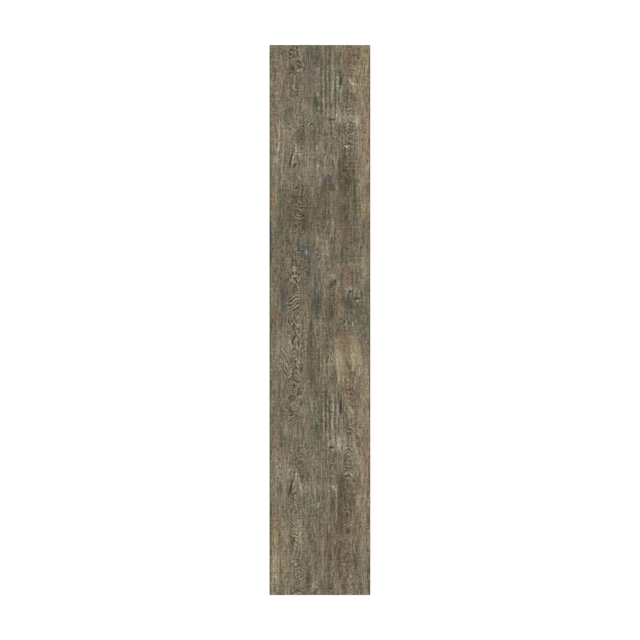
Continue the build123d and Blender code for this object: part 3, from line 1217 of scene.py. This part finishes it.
@dataclass(frozen=True)
class FiredBody(Finish):
    """Bare porcelain of the ground sides and the pressed back. Lengths are metres."""

    # Body with clouds, grinding lines and dark specks; the lines have a rate for each axis
    colour: Levels = (170.0, 158.0, 140.0)
    cloud: Levels = (160.0, 148.0, 130.0)
    clouds: Speckle = Speckle(60, 4, 0.3, 0.7)
    grinding: Speckle = Speckle(1, 2, 0.45, 0.75)
    grinding_rates: tuple[float, float, float] = (25, 25, 2600)
    grinding_share: float = 0.5
    speck: Levels = (112.0, 100.0, 86.0)
    specks: Speckle = Speckle(1400, 1, 0.62, 0.72)

    # Pale line under the glaze, and chalky kiln wash on the ribs of the back
    engobe: Levels = (203.0, 197.0, 186.0)
    engobe_depth: float = 0.0008
    engobe_blur: float = 0.0001
    wash: Levels = (197.0, 191.0, 180.0)
    wash_rise: float = 0.0003
    wash_full: float = 0.00006
    chalk: Speckle = Speckle(260, 4, 0.38, 0.68)

    # Changes of gloss and fine grit
    dull: Speckle = Speckle(300, 2)
    grit: Speckle = Speckle(900, 3)

    def build(self, thickness: float) -> bpy.types.Material:
        """Builds the material.

        Args:
            thickness: the tile's thickness.
        Returns:
            The material.
        """
        material, loom = self.start("fired_body")
        place = loom.node("ShaderNodeTexCoord").outputs["Object"]
        height = loom.height(place)

        def noise(speckle: Speckle, vector: Socket = place) -> Socket:
            """Value of a noise at a place."""
            inputs = {"Vector": vector, "Scale": speckle.scale, "Detail": speckle.octaves}
            return loom.call("ShaderNodeTexNoise", inputs)

        def shown(speckle: Speckle, value: Socket) -> Socket:
            """Mask that is 1 where a noise has come in."""
            return loom.ease(value, speckle.start, speckle.end)

        lines = noise(self.grinding, loom.vector("MULTIPLY", place, self.grinding_rates))
        ground = loom.math("MULTIPLY", shown(self.grinding, lines), self.grinding_share)
        engobe_foot = thickness - self.engobe_depth
        under_glaze = loom.ease(height, engobe_foot, engobe_foot + self.engobe_blur)
        on_ribs = loom.ease(height, self.wash_rise, self.wash_full)
        colour: Operand = linear_colour(self.colour)
        for mask, levels in (
            (shown(self.clouds, noise(self.clouds)), self.cloud),
            (ground, self.cloud),
            (shown(self.specks, noise(self.specks)), self.speck),
            (under_glaze, self.engobe),
            (loom.math("MULTIPLY", on_ribs, shown(self.chalk, noise(self.chalk))), self.wash),
        ):
            colour = loom.mixed(mask, colour, linear_colour(levels))
        rough = loom.math(
            "MULTIPLY_ADD", noise(self.dull), 2 * self.rough_change, self.roughness - self.rough_change
        )
        relief = loom.math("MULTIPLY_ADD", lines, self.grinding_share, noise(self.grit))
        self.end(loom, colour, rough, relief)
        return material


def inset(share: float, margin: float) -> float:
    """Draws a share from 0 to 1 in by a margin at both ends."""
    return margin + (1 - 2 * margin) * share


@dataclass(frozen=True)
class Strips:
    """Band of the bake map where a surface lies cut into strips side by side, in shares of the map."""

    count: int
    foot: float
    height: float
    end_margin: float
    side_margin: float = 0.01

    def index(self, share_y: float) -> int:
        """Which strip a place along the tile is in."""
        return min(int(share_y * self.count), self.count - 1)

    def place(self, strip: int, share_x: float, share_y: float) -> tuple[float, float]:
        """Place on the map of a place on the tile that lies in a strip."""
        across = (strip + inset(share_x, self.side_margin)) / self.count
        return across, self.foot + self.height * inset(share_y * self.count - strip, self.end_margin)


@dataclass(frozen=True)
class BakeMap:
    """One square map for all surfaces, in shares of it: face on top, back below, sides in rows at the foot.

    Face and back are cut into strips, so that both ways along them get an even share of the map.
    """

    face: Strips = Strips(count=3, foot=0.3, height=0.7, end_margin=0.01)
    back: Strips = Strips(count=5, foot=0.08, height=0.21, end_margin=0.08)
    row_foot: float = 0.004
    row_pitch: float = 0.018
    row_height: float = 0.012
    row_margin: float = 0.004
    faces_down: float = -0.3
    faces_sideways: float = 0.5

    def lay_out(self, mesh: bpy.types.Mesh, size: tuple[float, float, float]) -> None:
        """Gives every corner of the tile's mesh its place on the map.

        Args:
            mesh: the mesh.
            size: the tile's width, length and thickness.
        """
        layer = mesh.uv_layers.new(name=BAKE_MAP)
        glazed = mesh.materials.find("printed_glaze")
        width, length, thickness = size
        for polygon in mesh.polygons:
            normal = polygon.normal
            on_face = polygon.material_index == glazed
            strips = self.face if on_face else self.back
            strip = strips.index(polygon.center.y / length + 0.5)
            on_long_side = abs(normal.x) > self.faces_sideways
            row = int(normal.x > 0) if on_long_side else 2 + int(normal.y > 0)
            for loop in polygon.loop_indices:
                x, y, z = mesh.vertices[mesh.loops[loop].vertex_index].co
                share_x, share_y = x / width + 0.5, y / length + 0.5
                if on_face or normal.z < self.faces_down:
                    uv = strips.place(strip, share_x, share_y)
                else:
                    level = self.row_foot + self.row_pitch * row + self.row_height * z / thickness
                    uv = inset(share_y if on_long_side else share_x, self.row_margin), level
                layer.data[loop].uv = uv


@dataclass
class PlankTile:
    """The tile as one closed mesh: embossed face, ground rim and keyed back. Sizes are metres."""

    width: float
    length: float
    thickness: float
    long_bevel_width: float = 0.0012
    long_bevel_drop: float = 0.0009
    end_arris: float = 0.0004
    back_arris: float = 0.0008
    pocket_mouth: float = 0.022
    pocket_depth: float = 0.0008
    pocket_draft: float = math.radians(35)
    pocket_ease: float = 0.0003
    rib_width: float = 0.004
    band_width: float = 0.007

    # Embossed face: cells of its grid, depth, flat rim, and how much each kind of grain presses it
    cells_across: int = 130
    cells_along: int = 660
    relief: float = 0.0003
    flat_rim: float = 0.003
    fibre_press: float = 0.6
    ring_press: float = 0.9
    fleck_press: float = 0.3
    ridge_press: float = 0.035
    split_press: float = 2.0
    press_range: tuple[float, float] = (-2.4, 1.3)

    # Making of the mesh
    weld: float = 0.00001
    sharp_angle: float = math.radians(25)
    glaze: PrintedGlaze = field(default_factory=PrintedGlaze)
    body: FiredBody = field(default_factory=FiredBody)
    bake_map: BakeMap = field(default_factory=BakeMap)

    @property
    def pitch(self) -> float:
        """Distance from one pocket to the next."""
        return self.pocket_mouth + self.rib_width

    @property
    def pockets(self) -> tuple[int, int]:
        """How many pockets fit across and along the back."""
        room = (span - 2 * self.band_width + self.rib_width for span in (self.width, self.length))
        return tuple(int(space / self.pitch) for space in room)

    @property
    def face(self) -> tuple[float, float]:
        """Width and length of the flat of the face, inside its bevels."""
        return self.width - 2 * self.long_bevel_width, self.length - 2 * self.end_arris

    @staticmethod
    def perimeter(count_x: int, count_y: int) -> list[tuple[float, float]]:
        """Points round a square from -1 to 1, anticlockwise.

        Args:
            count_x: steps along each end.
            count_y: steps along each long side.
        Returns:
            The points, with the first not repeated.
        """
        along_x = [-1 + 2 * i / count_x for i in range(count_x)]
        along_y = [-1 + 2 * i / count_y for i in range(count_y)]
        points = [(x, -1.0) for x in along_x] + [(1.0, y) for y in along_y]
        return points + [(-x, 1.0) for x in along_x] + [(-1.0, -y) for y in along_y]

    def rim(self) -> bpy.types.Mesh:
        """Builds the bevels, sides and back band as loops round the tile.

        Returns:
            A mesh that is open at the face and at the pocket grid.
        """
        bm = bmesh.new()
        glazed = bm.faces.layers.bool.new(GLAZED)
        face_x, face_y = self.face
        right, end = self.width / 2, self.length / 2
        long_top, end_top = self.thickness - self.long_bevel_drop, self.thickness - self.end_arris
        levels = (
            (face_x / 2, face_y / 2, self.thickness, self.thickness),
            (right, end, long_top, end_top),
            (right, end, self.back_arris, self.back_arris),
            (right - self.back_arris, end - self.back_arris, 0.0, 0.0),
        )
        outline = self.perimeter(self.cells_across, self.cells_along)
        loops = [
            [bm.verts.new((x * half_x, y * half_y, on_long if abs(x) == 1 else on_end)) for x, y in outline]
            for half_x, half_y, on_long, on_end in levels
        ]
        for step, (upper, lower) in enumerate(zip(loops, loops[1:])):
            for i in range(len(outline)):
                j = (i + 1) % len(outline)
                wall = bm.faces.new((upper[i], lower[i], lower[j], upper[j]))
                wall[glazed] = step == 0
        half_x, half_y = (count * self.pitch / 2 for count in self.pockets)
        inner = [bm.verts.new((x * half_x, y * half_y, 0.0)) for x, y in self.perimeter(*self.pockets)]
        outer = loops[-1]
        inner_edges = [bm.edges.new((a, b)) for a, b in zip(inner, inner[1:] + inner[:1])]
        outer_edges = [bm.edges.get((a, b)) for a, b in zip(outer, outer[1:] + outer[:1])]
        bmesh.ops.triangle_fill(bm, use_beauty=True, edges=outer_edges + inner_edges, normal=(0, 0, -1))
        mesh = bpy.data.meshes.new("rim")
        bm.to_mesh(mesh)
        bm.free()
        return mesh

    def surface_tree(self) -> Tree:
        """Builds the Geometry Nodes tree that adds the embossed face and the keyed back to the rim.

        Returns:
            The tree.
        """
        loom, given, result = new_group(
            "plank_surfaces",
            TreeKind.GEOMETRY,
            {
                "Rim": "Geometry",
                "Face Width": "Float",
                "Face Length": "Float",
                "Thickness": "Float",
                "Cells Across": "Int",
                "Cells Along": "Int",
                "Relief": "Float",
                "Pitch": "Float",
                "Pockets Across": "Int",
                "Pockets Along": "Int",
                "Glaze": "Material",
                "Body": "Material",
            },
            {"Tile": "Geometry"},
        )
        position = loom.node("GeometryNodeInputPosition").outputs[0]
        place = loom.vector("MULTIPLY", position, (1 / MM, 1 / MM, 0))
        grain = loom.group(self.glaze.boards.weave(TreeKind.GEOMETRY), {"Place": place})
        carried = {
            MARKS: self.glaze.stains(loom, place, grain.outputs["Bleed"]),
            RIDGES: self.glaze.ripples(loom, grain.outputs["Wavy"], grain.outputs["Curly"]),
            QUIET: self.glaze.quiet(loom, grain.outputs["Wavy"]),
        }
        face = self.face_surface(loom, given, place, self.emboss(loom, grain, carried))
        join = loom.node("GeometryNodeJoinGeometry")
        for part in (given["Rim"], face, self.back_surface(loom, given)):
            loom.feed(join, {0: part})
        tile = loom.call("GeometryNodeMergeByDistance", {0: join.outputs[0], "Distance": self.weld})
        for name, value in carried.items():
            tile = self.stored(loom, tile, name, value, "FLOAT_VECTOR", "POINT")
        tile = loom.call("GeometryNodeRealizeInstances", {0: tile})
        tile = loom.call("GeometryNodeSetMaterial", {0: tile, "Material": given["Body"]})
        glazed = loom.call("GeometryNodeInputNamedAttribute", {"Name": GLAZED}, data_type="BOOLEAN")
        glaze = {0: tile, "Selection": glazed, "Material": given["Glaze"]}
        loom.feed(result, {"Tile": loom.call("GeometryNodeSetMaterial", glaze)})
        return loom.tree

    @staticmethod
    def stored(
        loom: Loom, geometry: Socket, name: str, value: Operand, data_type: str, domain: str
    ) -> Socket:
        """Geometry that carries a value under a name."""
        inputs = {0: geometry, "Name": name, "Value": value}
        return loom.call("GeometryNodeStoreNamedAttribute", inputs, data_type=data_type, domain=domain)

    def emboss(self, loom: Loom, grain: bpy.types.Node, carried: dict[str, Socket]) -> Socket:
        """Works out how far the face is pressed down by its grain, ridges and splits.

        Args:
            loom: where the nodes go.
            grain: the boards' grain.
            carried: the marks of the print by name; their tint is dark in the splits.
        Returns:
            Height between -1, at the deepest, and 0.
        """
        green = loom.call("FunctionNodeSeparateColor", {0: carried[MARKS]}, 1)
        dark = loom.math("SUBTRACT", loom.math("MINIMUM", green, 1.0), 1.0)
        fibre, fleck, figure = self.glaze.quieted(loom, grain, carried[QUIET])
        ridges = self.glaze.ridge_lines(loom, carried[RIDGES], grain.outputs["Fleck"])
        height = loom.weighted(
            (fibre, self.fibre_press),
            (figure, self.ring_press),
            (fleck, self.fleck_press),
            (ridges, self.ridge_press),
            (dark, self.split_press),
        )
        return loom.math("SUBTRACT", loom.ease(height, *self.press_range), 1.0)

    def face_surface(self, loom: Loom, given: dict[str, Socket], place: Socket, sunk: Socket) -> Socket:
        """Lays the face as a fine grid, pressed down where the grain is open.

        Args:
            loom: where the nodes go.
            given: the tree's inputs by name.
            place: position on the face in millimetres.
            sunk: height of the face, between -1 and 0.
        Returns:
            The face's geometry.
        """
        grid = loom.call(
            "GeometryNodeMeshGrid",
            {
                "Size X": given["Face Width"],
                "Size Y": given["Face Length"],
                "Vertices X": given["Cells Across"],
                "Vertices Y": given["Cells Along"],
            },
        )
        edges = (
            loom.math("SUBTRACT", span / 2 / MM, loom.math("ABSOLUTE", offset))
            for span, offset in zip(self.face, loom.split(place))
        )
        inside = loom.ease(loom.math("MINIMUM", *edges), 0.0, self.flat_rim / MM)
        drop = loom.math("MULTIPLY", loom.math("MULTIPLY", sunk, inside), given["Relief"])
        level = loom.call("ShaderNodeCombineXYZ", {2: loom.math("ADD", given["Thickness"], drop)})
        pressed = loom.call("GeometryNodeSetPosition", {0: grid, "Offset": level})
        smooth = loom.call("GeometryNodeSetShadeSmooth", {0: pressed})
        return self.stored(loom, smooth, GLAZED, True, "BOOLEAN", "FACE")

    def back_surface(self, loom: Loom, given: dict[str, Socket]) -> Socket:
        """Sets one pocket with its half ribs on every place of the back's grid.

        Args:
            loom: where the nodes go.
            given: the tree's inputs by name.
        Returns:
            The back's geometry.
        """
        floor = self.pocket_mouth - 2 * self.pocket_depth * math.tan(self.pocket_draft)
        rounding = self.pocket_ease / 2
        profile = (
            (self.pocket_mouth + 2 * self.pocket_ease, 0.0),
            (self.pocket_mouth, rounding),
            (floor, self.pocket_depth - rounding),
            (floor - 2 * self.pocket_ease, self.pocket_depth),
        )
        pitch = given["Pitch"]
        square = {"Size X": pitch, "Size Y": pitch, "Vertices X": 2, "Vertices Y": 2}
        cell = loom.call("GeometryNodeMeshGrid", square)
        chosen: Operand = True
        size, rise = self.pitch, 0.0
        for next_size, next_rise in profile:
            step = loom.node("GeometryNodeExtrudeMesh", mode="FACES")
            loom.feed(
                step,
                {
                    "Mesh": cell,
                    "Selection": chosen,
                    "Offset Scale": next_rise - rise,
                    "Individual": False,
                },
            )
            chosen = step.outputs["Top"]
            cell = loom.call(
                "GeometryNodeScaleElements",
                {0: step.outputs["Mesh"], "Selection": chosen, "Scale": next_size / size},
                domain="FACE",
            )
            size, rise = next_size, next_rise
        turned = loom.call("GeometryNodeFlipFaces", {0: cell})
        counts = given["Pockets Across"], given["Pockets Along"]
        spans = [loom.math("MULTIPLY", pitch, loom.math("SUBTRACT", count, 1)) for count in counts]
        places = loom.call(
            "GeometryNodeMeshGrid",
            {"Size X": spans[0], "Size Y": spans[1], "Vertices X": counts[0], "Vertices Y": counts[1]},
        )
        copies = loom.call("GeometryNodeInstanceOnPoints", {"Points": places, "Instance": turned})
        return loom.call("GeometryNodeRealizeInstances", {0: copies})

    def build(self) -> bpy.types.Object:
        """Builds the tile's object.

        Returns:
            The object, with a plain mesh and both finishes.
        """
        finishes = {
            "Body": self.body.build(self.thickness),
            "Glaze": self.glaze.build(self.width / 2 / MM, self.long_bevel_width / MM),
        }
        rim = self.rim()
        for material in finishes.values():
            rim.materials.append(material)
        tile = bpy.data.objects.new("plank_tile", rim)
        bpy.context.scene.collection.objects.link(tile)
        modifier = tile.modifiers.new("surfaces", "NODES")
        modifier.node_group = self.surface_tree()
        values = {
            "Face Width": self.face[0],
            "Face Length": self.face[1],
            "Thickness": self.thickness,
            "Cells Across": self.cells_across + 1,
            "Cells Along": self.cells_along + 1,
            "Relief": self.relief,
            "Pitch": self.pitch,
            "Pockets Across": self.pockets[0],
            "Pockets Along": self.pockets[1],
            **finishes,
        }
        for item in modifier.node_group.interface.items_tree:
            if item.in_out == "INPUT" and item.name in values:
                modifier[item.identifier] = values[item.name]
        graph = bpy.context.evaluated_depsgraph_get()
        mesh = bpy.data.meshes.new_from_object(tile.evaluated_get(graph))
        tile.modifiers.clear()
        for slot in reversed(range(len(mesh.materials))):
            if mesh.materials[slot] is None:
                mesh.materials.pop(index=slot)
        tile.data = mesh
        mesh.name = "plank_tile"
        self.finish_mesh(mesh)
        return tile

    def finish_mesh(self, mesh: bpy.types.Mesh) -> None:
        """Turns all faces outwards, marks the sharp edges and lays out the bake map.

        Args:
            mesh: the tile's plain mesh.
        """
        bm = bmesh.new()
        bm.from_mesh(mesh)
        bmesh.ops.recalc_face_normals(bm, faces=bm.faces)
        open_edges = sum(not edge.is_manifold for edge in bm.edges)
        litres = bm.calc_volume() * 1000
        LOG.info("tile mesh: %d faces, %d open edges, %.4f litres", len(bm.faces), open_edges, litres)
        bm.to_mesh(mesh)
        bm.free()
        mesh.shade_smooth()
        mesh.set_sharp_from_angle(angle=self.sharp_angle)
        self.bake_map.lay_out(mesh, (self.width, self.length, self.thickness))


@dataclass(frozen=True)
class SoftBox:
    """Round soft light that faces the middle of the table. Metres and watts."""

    name: str
    place: tuple[float, float, float]
    power: float
    size: float = 1.6

    def build(self) -> None:
        """Hangs the light in its place."""
        light = bpy.data.lights.new(self.name, "AREA")
        light.shape = "DISK"
        light.size = self.size
        light.energy = self.power
        lamp = bpy.data.objects.new(self.name, light)
        lamp.location = self.place
        lamp.rotation_euler = (-Vector(self.place)).to_track_quat("-Z", "Y").to_euler()
        bpy.context.scene.collection.objects.link(lamp)


@dataclass(frozen=True)
class Studio:
    """White table, soft lights and a camera straight above. Metres, with lens and sensor in millimetres."""

    # Where the face lies in the photograph, in pixels
    frame_pixels: float = 640.0
    face_pixels: float = 550.4
    centre_pixels: tuple[float, float] = (319.88, 319.995)
    lens: float = 85.0
    sensor: float = 36.0

    # Table, just under the tile, and the sky, from the horizon up
    table_half: float = 15.0
    table_level: float = -0.0002
    table_grey: float = 0.85
    table_roughness: float = 0.9
    table_specular: float = 0.1
    table_glow: float = 0.5
    horizon: float = 0.84
    sky: float = 0.345
    sky_heights: tuple[float, float] = (0.06, 0.45)
    boxes: tuple[SoftBox, ...] = (
        SoftBox("box_left", (-2.6, 0.6, 2.4), 38.0),
        SoftBox("box_right", (2.6, -0.4, 2.4), 26.0),
        SoftBox("box_far", (0.3, 2.8, 2.2), 26.0),
        SoftBox("box_near", (-0.3, -2.8, 2.2), 20.0),
    )

    def build(self, tile: PlankTile) -> None:
        """Sets up the table, the lights and the camera.

        Args:
            tile: the tile that lies on the table.
        """
        self.table()
        self.world()
        for box in self.boxes:
            box.build()
        self.camera(tile)

    def table(self) -> None:
        """Lays the white table top."""
        half, level = self.table_half, self.table_level
        corners = [(-half, -half, level), (half, -half, level), (half, half, level), (-half, half, level)]
        mesh = bpy.data.meshes.new("table_top")
        mesh.from_pydata(corners, [], [(0, 1, 2, 3)])
        table = bpy.data.objects.new("table_top", mesh)
        bpy.context.scene.collection.objects.link(table)
        material = bpy.data.materials.new("white_table")
        material.use_nodes = True
        shader = material.node_tree.nodes["Principled BSDF"]
        for name, value in (
            ("Base Color", (self.table_grey, self.table_grey, self.table_grey, 1.0)),
            ("Roughness", self.table_roughness),
            ("Specular IOR Level", self.table_specular),
            ("Emission Color", WHITE),
            ("Emission Strength", self.table_glow),
        ):
            shader.inputs[name].default_value = value
        mesh.materials.append(material)
        table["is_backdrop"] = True

    def world(self) -> None:
        """Sets the pale sky, brighter at the horizon."""
        world = bpy.data.worlds.new("studio_sky")
        bpy.context.scene.world = world
        world.use_nodes = True
        loom = Loom(world.node_tree)
        height = loom.height(loom.node("ShaderNodeTexCoord").outputs["Generated"])
        low, high = self.sky_heights
        strength = loom.call(
            "ShaderNodeMapRange",
            {0: height, 1: low, 2: high, 3: self.horizon, 4: self.sky},
            interpolation_type="SMOOTHSTEP",
        )
        loom.feed(world.node_tree.nodes["Background"], {"Color": WHITE, "Strength": strength})

    def camera(self, tile: PlankTile) -> None:
        """Hangs the camera over the face so that the face fills the picture as in the photograph.

        Args:
            tile: the tile to look at.
        """
        view_width = self.frame_pixels * tile.length / self.face_pixels
        middle = self.frame_pixels / 2
        data = bpy.data.cameras.new("overhead")
        data.lens = self.lens
        data.sensor_width = self.sensor
        data.shift_x = (middle - self.centre_pixels[0]) / self.frame_pixels
        data.shift_y = (self.centre_pixels[1] - middle) / self.frame_pixels
        camera = bpy.data.objects.new("overhead", data)
        camera.location = (0, 0, tile.thickness + view_width * self.lens / self.sensor)
        scene = bpy.context.scene
        scene.collection.objects.link(camera)
        scene.camera = camera
        scene.view_settings.view_transform = "Standard"
        scene.view_settings.look = "None"


def write_sizes() -> None:
    boxes = {"cad": CAD_BOX, "visual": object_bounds()}
    plain = {name: [list(corner) for corner in box] for name, box in boxes.items()}


def main() -> None:
    """Builds the tile and its studio in order, and reports each piece."""
    logging.basicConfig(level=logging.INFO, format="%(name)s: %(message)s")
    low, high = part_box(NODE)
    tile = PlankTile(*(high - low))
    piece = tile.build()
    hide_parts(NODE)
    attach(piece, BODY)
    LOG.info("piece %s: %d polygons on body %s", piece.name, len(piece.data.polygons), BODY)
    Studio().build(tile)
    LOG.info("studio: white table, soft boxes and overhead camera")
    write_sizes()


if __name__ == "__main__":
    main()
